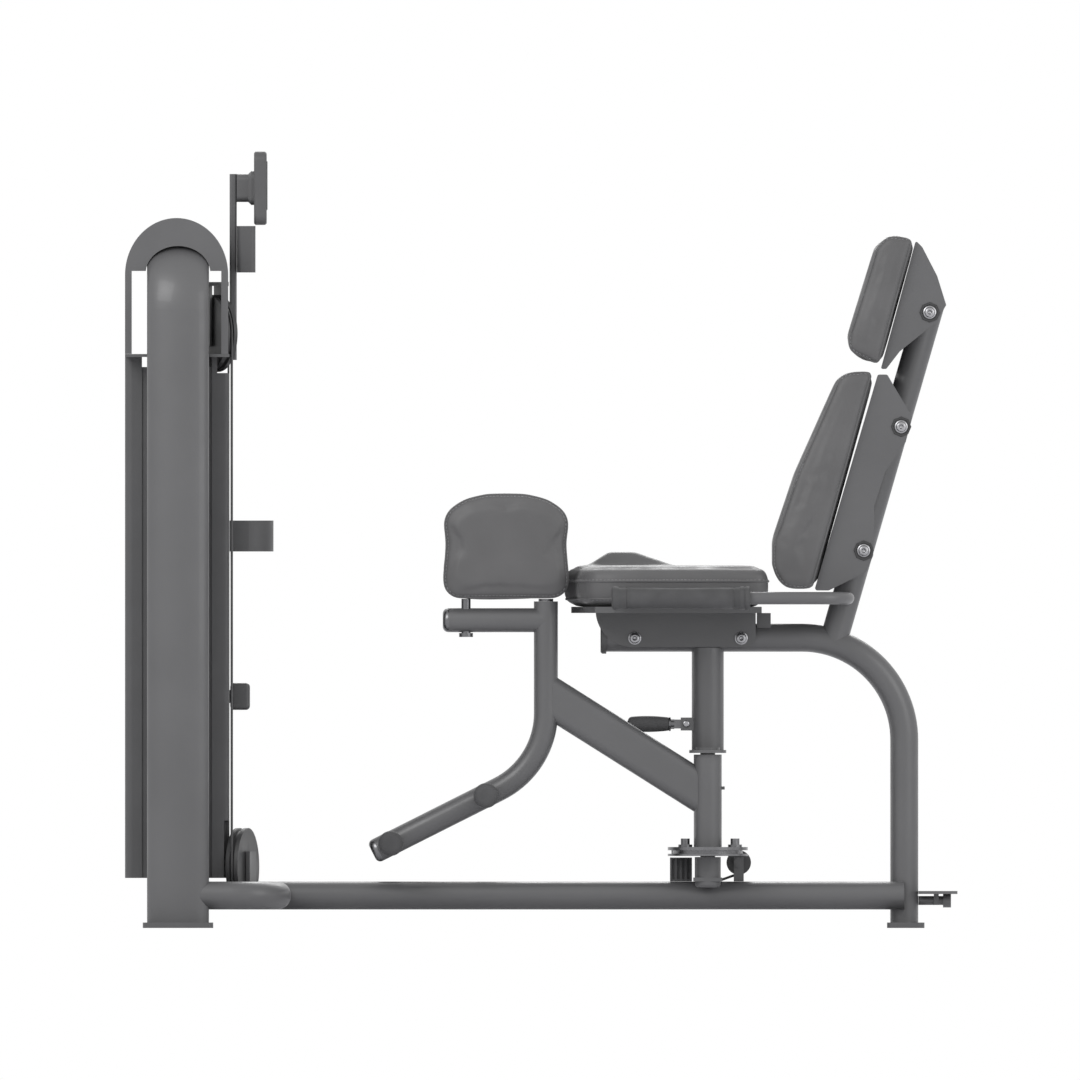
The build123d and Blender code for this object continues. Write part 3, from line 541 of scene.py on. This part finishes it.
def upholstered(name, shapes, node, body, cap=0.006):
    """A stuffed cover made from closed shapes, in place of a CAD node."""
    piece = joined(name, shapes)
    remesh(piece)
    inflate(piece, cap)
    low, high = (Vector(corner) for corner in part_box(node))
    room = Vector((COVER_ROOM,) * 3)
    kept_inside(piece, low - room, high + room)
    soften(piece, COVER_SMOOTHING)
    subdivision = piece.modifiers.new("subdivision", "SUBSURF")
    subdivision.levels = 1
    subdivision.render_levels = 1
    apply_modifiers(piece)
    piece.data.materials.clear()
    piece.data.materials.append(VINYL)
    smooth_shading(piece)
    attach(piece, body)
    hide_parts(node)
    return piece


def ease_edges(piece, low, high, times):
    """Rounds off the edges of the part of a cover that lies in a box."""
    bm = bmesh.new()
    bm.from_mesh(piece.data)
    inside = [v for v in bm.verts if all(low[axis] < v.co[axis] < high[axis] for axis in range(3))]
    every_way = {"use_axis_x": True, "use_axis_y": True, "use_axis_z": True}
    for _ in range(times):
        bmesh.ops.smooth_vert(bm, verts=inside, factor=0.5, **every_way)
    bm.to_mesh(piece.data)
    bm.free()


def evenly(points, gap):
    """Points at an even distance along a closed loop."""
    loop = [Vector(p) for p in points]
    lengths = [(loop[(i + 1) % len(loop)] - p).length for i, p in enumerate(loop)]
    total = sum(lengths)
    count = max(8, round(total / gap))
    spots = []
    i, walked = 0, 0.0
    for k in range(count):
        target = total * k / count
        while i < len(loop) - 1 and walked + lengths[i] < target:
            walked += lengths[i]
            i += 1
        t = (target - walked) / max(lengths[i], 1e-9)
        spots.append(loop[i].lerp(loop[(i + 1) % len(loop)], t))
    return spots


def settled(points):
    """A closed loop with its small kinks evened out."""
    for _ in range(KINK_ROUNDS):
        points = [(points[i - 1] + 2 * p + points[(i + 1) % len(points)]) / 4 for i, p in enumerate(points)]
    return points


def piping_along(name, loop):
    """A thin round cord along a closed loop."""
    curve = bpy.data.curves.new(name, "CURVE")
    curve.dimensions = "3D"
    curve.bevel_depth = PIPING_RADIUS
    curve.bevel_resolution = 3
    spline = curve.splines.new("POLY")
    spline.points.add(len(loop) - 1)
    for point, spot in zip(spline.points, loop):
        point.co = (*spot, 1)
    spline.use_cyclic_u = True
    holder = bpy.data.objects.new(curve.name, curve)
    bpy.context.collection.objects.link(holder)
    mesh = bpy.data.meshes.new_from_object(holder.evaluated_get(bpy.context.evaluated_depsgraph_get()))
    bpy.data.objects.remove(holder)
    piping = new_object(name, mesh)
    piping.data.materials.clear()
    piping.data.materials.append(VINYL)
    smooth_shading(piping)
    return piping


def stitches_along(name, loop, tree):
    """A row of stitches lying on the cover whose surface the tree holds."""
    rows = bmesh.new()
    for i, spot in enumerate(loop):
        place, normal = tree.find_nearest(spot)[:2]
        along = (loop[(i + 1) % len(loop)] - loop[i - 1]).normalized()
        across = normal.cross(along).normalized()
        turn = Matrix((along, across, normal)).transposed().to_4x4()
        lift = Matrix.Translation(place + normal * STITCH_LIFT)
        bmesh.ops.create_cube(rows, size=1.0, matrix=lift @ turn @ Matrix.Diagonal((*STITCH_SIZE, 1)))
    return from_bmesh(name, rows, THREAD)


def seam(cushion, label, loop, inward):
    """Piping along a loop on the cover, and a row of stitches beside it, towards inward."""
    name = cushion.name + "_" + label
    tree = BVHTree.FromObject(cushion, bpy.context.evaluated_depsgraph_get())
    on_cover = settled([tree.find_nearest(p)[0] for p in evenly(loop, PIPING_STEP)])
    piping = piping_along(name, on_cover)
    aside = [p + (inward - p).normalized() * STITCH_ASIDE for p in evenly(on_cover, STITCH_GAP)]
    stitches = stitches_along(name + "_stitches", aside, tree)
    for piece in (piping, stitches):
        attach(piece, body_of(cushion)[0])


def in_box(node, fractions):
    """Side view points (X, Z) from their fractions of a CAD node's box."""
    low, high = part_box(node)
    return [(low[0] + u * (high[0] - low[0]), low[2] + w * (high[2] - low[2])) for u, w in fractions]


def make_seat_cushion():
    """A flat seat with a narrow nose, a ridge between the legs and two seams round its sides."""
    low, high = (Vector(corner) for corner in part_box("seat_cushion"))
    front, back = low.x, high.x
    bottom, top = low.z + 0.004, low.z + 0.0765
    half = [(front, 0.045), (front + 0.022, 0.064), (front + 0.030, 0.148), (front + 0.052, 0.200),
            (front + 0.1, 0.2105), (back - 0.001, 0.193)]
    points = half + [(x, -y) for x, y in reversed(half)]
    radii = [0.03, 0.01, 0.05, 0.06, 0.12, 0.035]
    outline = rounded(points, radii + radii[::-1])
    base = bevelled(prism("seat_base", outline, bottom, top, "Z"), 0.024, 6)
    ridge_foot = 0.056
    ridge = [(0.038, 0.046, top - 0.004), (0.060, 0.036, top + 0.009), (0.094, 0.020, high.z + 0.002),
             (0.140, 0.020, high.z + 0.001), (0.180, 0.032, top + 0.014), (0.226, 0.046, top + 0.001)]
    bm = bmesh.new()
    for ahead, wide, z in ridge:
        for s in (-1, 1):
            bm.verts.new((front + ahead, s * wide, z))
            bm.verts.new((front + ahead, s * ridge_foot, bottom + 0.02))
    bmesh.ops.convex_hull(bm, input=bm.verts)
    hump = from_bmesh("pommel", bm)
    cushion = upholstered("seat_cushion_cover", [base, hump], "seat_cushion", "root")
    ridge_low = (front + 0.034, -0.075, top - 0.004)
    ridge_high = (front + 0.25, 0.075, high.z + 0.01)
    ease_edges(cushion, ridge_low, ridge_high, RIDGE_SMOOTHING)
    middle = Vector(((front + back) / 2, 0, top + 0.03))
    seam(cushion, "top_seam", [(x, y, top - 0.026) for x, y in outline], middle)
    seam(cushion, "bottom_seam", [(x, y, bottom + 0.008) for x, y in outline], Vector((middle.x, 0, top)))


def make_padded_back(node, fractions, radii, edge, cap):
    """A backrest cushion: its side outline across the seat, with a seam round each side."""
    low, high = (Vector(corner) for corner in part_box(node))
    outline = rounded(in_box(node, fractions), radii)
    base = bevelled(prism(node + "_base", outline, low.y + COVER_ROOM, high.y - COVER_ROOM, "Y"), edge, 5)
    cushion = upholstered(node + "_cover", [base], node, "root", cap)
    seam_inset = 0.012
    for label, y in (("left_seam", low.y + seam_inset), ("right_seam", high.y - seam_inset)):
        loop = [(x, y, z) for x, z in outline]
        seam(cushion, label, loop, Vector(((low.x + high.x) / 2, y * 0.9, (low.z + high.z) / 2)))


def make_back_cushion():
    fractions = [(0.997, 0.997), (0.69, 0.992), (0.24, 0.534), (0.004, 0.214), (0.004, 0.082),
                 (0.115, 0.004), (0.39, 0.004)]
    radii = [0.005, 0.035, 0.25, 0.10, 0.04, 0.03, 0.005]
    make_padded_back("back_cushion", fractions, radii, 0.015, 0.006)


def make_head_cushion():
    fractions = [(0.995, 0.966), (0.62, 0.994), (0.434, 0.902), (0.006, 0.218), (0.006, 0.113),
                 (0.455, 0.004)]
    radii = [0.004, 0.014, 0.012, 0.03, 0.014, 0.004]
    make_padded_back("head_cushion", fractions, radii, 0.013, 0.005)


def make_thigh_pad(side):
    """A pad with a crowned top and a slight waist, and a seam round each face."""
    node = side + "_thigh_pad"
    low, high = (Vector(corner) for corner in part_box(node))
    middle = (low.x + high.x) / 2
    half = (high.x - low.x) / 2
    waist = 0.006
    right = [(half * 0.30, high.z - 0.001), (half * 0.66, high.z - 0.012), (half * 0.90, high.z - 0.032),
             (half, high.z - 0.054), (half - waist, high.z - 0.100), (half, low.z + 0.042),
             (half * 0.985, low.z + 0.018), (half * 0.83, low.z + 0.001)]
    points = [(middle + x, z) for x, z in right] + [(middle - x, z) for x, z in reversed(right)]
    radii = [0.09, 0.05, 0.03, 0.04, 0.12, 0.03, 0.02, 0.02]
    outline = rounded(points, radii + radii[::-1])
    crown = 0.006
    base = bevelled(prism("pad_base", outline, low.y + crown, high.y - crown, "Y"), 0.017, 6)
    cushion = upholstered(side + "_thigh_pad_cover", [base], node, side + "_arm")
    centre_y = (low.y + high.y) / 2
    seam_inset = 0.019
    for label, y in (("inner_seam", low.y + seam_inset), ("outer_seam", high.y - seam_inset)):
        loop = [(x, y, z) for x, z in outline]
        seam(cushion, label, loop, Vector((middle, y + (y - centre_y) * 3, (low.z + high.z) / 2)))


# ---------------------------------------------------------------- moulded and turned details

def settle(piece, node, body):
    """Gives a piece its body, and hides the CAD node that it stands for, if any."""
    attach(piece, body)
    if node:
        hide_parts(node)


def grip_profile(length, radius, flange):
    """Flange and rounded nose in front, a long smooth hold, and a ring and a collar behind."""
    ring = length - 0.034
    return [(0.0, flange * 0.5), (0.0008, flange * 0.82), (0.003, flange * 0.96), (0.006, flange),
            (0.011, flange), (0.0135, flange * 0.96), (0.0150, radius), (0.029, radius),
            (0.0296, radius - 0.0012), (0.0312, radius - 0.0012), (0.0318, radius), (0.060, radius - 0.0006),
            (length * 0.5, radius - 0.0009), (ring - 0.03, radius - 0.0004), (ring, radius),
            (ring + 0.0008, radius - 0.0016), (ring + 0.0036, radius - 0.0016), (ring + 0.0044, radius),
            (length - 0.0215, radius), (length - 0.0205, flange * 0.98), (length - 0.0195, flange),
            (length - 0.0120, flange), (length - 0.0114, flange - 0.0012), (length - 0.0100, flange - 0.0012),
            (length - 0.0094, flange), (length - 0.0025, flange), (length - 0.0008, flange * 0.97),
            (length, flange * 0.9), (length, TUBE_BORE_RADIUS)]


def make_handle_grips():
    low, high = (Vector(corner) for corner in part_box("handle_grips"))
    flange = (high.z - low.z) / 2
    centre_z = (high.z + low.z) / 2
    length = high.x - low.x
    grips = []
    for s in (-1, 1):
        y = s * (high.y - flange)
        profile = grip_profile(length, flange - GRIP_STEP, flange)
        grips.append(lathe("grip", profile, (low.x, y, centre_z), (1, 0, 0), RUBBER))
    settle(joined("handle_grip_sleeves", grips), "handle_grips", "root")


def make_lever_grip():
    """A long egg-shaped hold, blunt in front and narrow at the lever."""
    low, high = (Vector(corner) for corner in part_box("lever_grip"))
    radius = (high.z - low.z) / 2
    length = high.x - low.x
    steps = 28
    profile = [(0, 0.003)]
    for k in range(steps + 1):
        t = k / steps
        bulge = 0.70 + 0.30 * math.sin(math.pi * min(1, 0.12 + t * 0.80)) ** 0.7
        nose = math.sqrt(max(0.0, 1 - (1 - min(1, t / 0.10)) ** 2))
        profile.append((t * length, max(0.003, radius * bulge * nose)))
    profile.append((length, 0.0105))
    grip = lathe("lever_grip_sleeve", profile, (low.x, 0, (low.z + high.z) / 2), (1, 0, 0), RUBBER)
    settle(grip, "lever_grip", "lever")


def peg_profile(length):
    """A sleeve with rings cut into it and a domed end."""
    profile = [(0, 0.012), (0, PEG_RADIUS - 0.002), (0.002, PEG_RADIUS)]
    along = PEG_RING_GAP
    while along < length - PEG_END_ROOM:
        profile += [(along, PEG_RADIUS), (along + 0.0008, PEG_RADIUS - PEG_RING_DEPTH),
                    (along + 0.0022, PEG_RADIUS - PEG_RING_DEPTH), (along + 0.003, PEG_RADIUS)]
        along += PEG_RING_GAP
    for k in range(DOME_STEPS):
        a = math.pi / 2 * k / DOME_STEPS
        profile.append((length - PEG_DOME + PEG_DOME * math.sin(a),
                        PEG_RADIUS - PEG_DOME + PEG_DOME * math.cos(a)))
    return profile + [(length, 0.011), (length, 0.002)]


def make_foot_pegs(side):
    """Ringed rubber sleeves with domed ends."""
    s = SIDES[side]
    node = side + "_foot_pegs"
    low, high = (Vector(corner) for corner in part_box(node))
    outer, inner = max(abs(low.y), abs(high.y)), min(abs(low.y), abs(high.y))
    sleeves = []
    for x, z in ((low.x + PEG_RADIUS, low.z + PEG_RADIUS), (high.x - PEG_RADIUS, high.z - PEG_RADIUS)):
        for start, end in ((s * ARM_Y + s * ARM_RADIUS, s * outer), (s * ARM_Y - s * ARM_RADIUS, s * inner)):
            profile = peg_profile(abs(end - start))
            sleeves.append(lathe("sleeve", profile, (x, start, z), (0, end - start, 0), RUBBER))
    settle(joined(side + "_foot_peg_sleeves", sleeves), node, side + "_arm")


def bolt(place, direction, radius, height):
    """Button-head bolt on a washer, with its hexagon socket drawn round."""
    chamfer = 0.0004
    rim = [(0, radius), (WASHER_THICKNESS - chamfer, radius), (WASHER_THICKNESS, radius - chamfer),
           (WASHER_THICKNESS, radius * 0.5)]
    washer = lathe("washer", rim, place, direction, STEEL)
    r = radius * 0.82
    dome_start = 0.003
    head = [(WASHER_THICKNESS, r), (dome_start, r)]
    for k in range(DOME_STEPS + 1):
        a = math.pi / 2 * k / DOME_STEPS
        head.append((dome_start + (height - dome_start) * math.sin(a), r * 0.52 + r * 0.48 * math.cos(a)))
    socket_r = r * 0.40
    head += [(height, socket_r * 1.12), (height - 0.0006, socket_r), (height * 0.45, socket_r),
             (height * 0.40, 0.0005)]
    return [washer, lathe("head", head, place, direction, STEEL)]


def solids_of(node):
    """The low and high corners of each separate solid of a CAD node."""
    bm = bmesh.new()
    bm.from_mesh(frame["nodes"][node].data)
    bm.transform(frame["nodes"][node].matrix_world)
    bmesh.ops.remove_doubles(bm, verts=bm.verts, dist=0.00002)  # the CAD mesh is split along its faces' edges
    left = set(bm.verts)
    boxes = []
    while left:
        reached = [left.pop()]
        for vertex in reached:
            for edge in vertex.link_edges:
                other = edge.other_vert(vertex)
                if other in left:
                    left.remove(other)
                    reached.append(other)
        boxes.append([Vector([pick(v.co[axis] for v in reached) for axis in range(3)])
                      for pick in (min, max)])
    bm.free()
    return boxes


def lever_pin(low, high):
    """The lever's riveted pin, with a lip at both ends."""
    middle = (low + high) / 2
    length, radius = high.y - low.y, (high.z - low.z) / 2
    profile = [(0, radius * 0.8), (0, radius * 1.5), (RIVET_LIP, radius * 1.65), (2 * RIVET_LIP, radius),
               (length, radius), (length + RIVET_LIP, radius * 1.65),
               (length + 2 * RIVET_LIP, radius * 1.5), (length + 2 * RIVET_LIP, radius * 0.8)]
    return lathe("pin", profile, (middle.x, low.y - RIVET_LIP, middle.z), (0, 1, 0), STEEL)


def bolt_recess(seat, direction, edge):
    """A dark eight-sided rim round a bolt in a plastic shell; its dark colour is painted shade, in place of
    the shade inside the shell's recess.
    """
    profile = [(0, edge), (0.0014, edge), (0.0026, edge * 0.94), (0.0026, edge * 0.80),
               (0.0012, edge * 0.74), (0.0012, edge * 0.3)]
    return lathe("recess", profile, seat, direction, PAINTED_RECESS_SHADE, 8)


def make_frame_bolts():
    """The bolts of the shells and the seat, the shell bolts' recesses as dark rims of painted shade, and the
    lever's pin.
    """
    pieces = []
    recesses = []
    shell_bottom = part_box("back_shell")[0][2]
    for low, high in solids_of("frame_bolts"):
        middle = (low + high) / 2
        if abs(middle.y) < 0.01:
            pieces.append(lever_pin(low, high))
            continue
        s = 1 if middle.y > 0 else -1
        seat = (middle.x, low.y if s > 0 else high.y, middle.z)
        pieces += bolt(seat, (0, s, 0), (high.z - low.z) / 2, high.y - low.y)
        if middle.z > shell_bottom:
            recesses.append(bolt_recess(seat, (0, s, 0), (high.z - low.z) * 0.78))
    settle(joined("frame_bolt_set", pieces), "frame_bolts", "root")
    rims = joined("bolt_recesses", recesses)
    for polygon in rims.data.polygons:
        polygon.use_smooth = False
    settle(rims, None, "root")


add_camera()
add_surroundings()
finish_cad_nodes()
make_seat_cushion()
make_back_cushion()
make_head_cushion()
for side_name in SIDES:
    make_thigh_pad(side_name)
    make_foot_pegs(side_name)
make_handle_grips()
make_lever_grip()
make_frame_bolts()
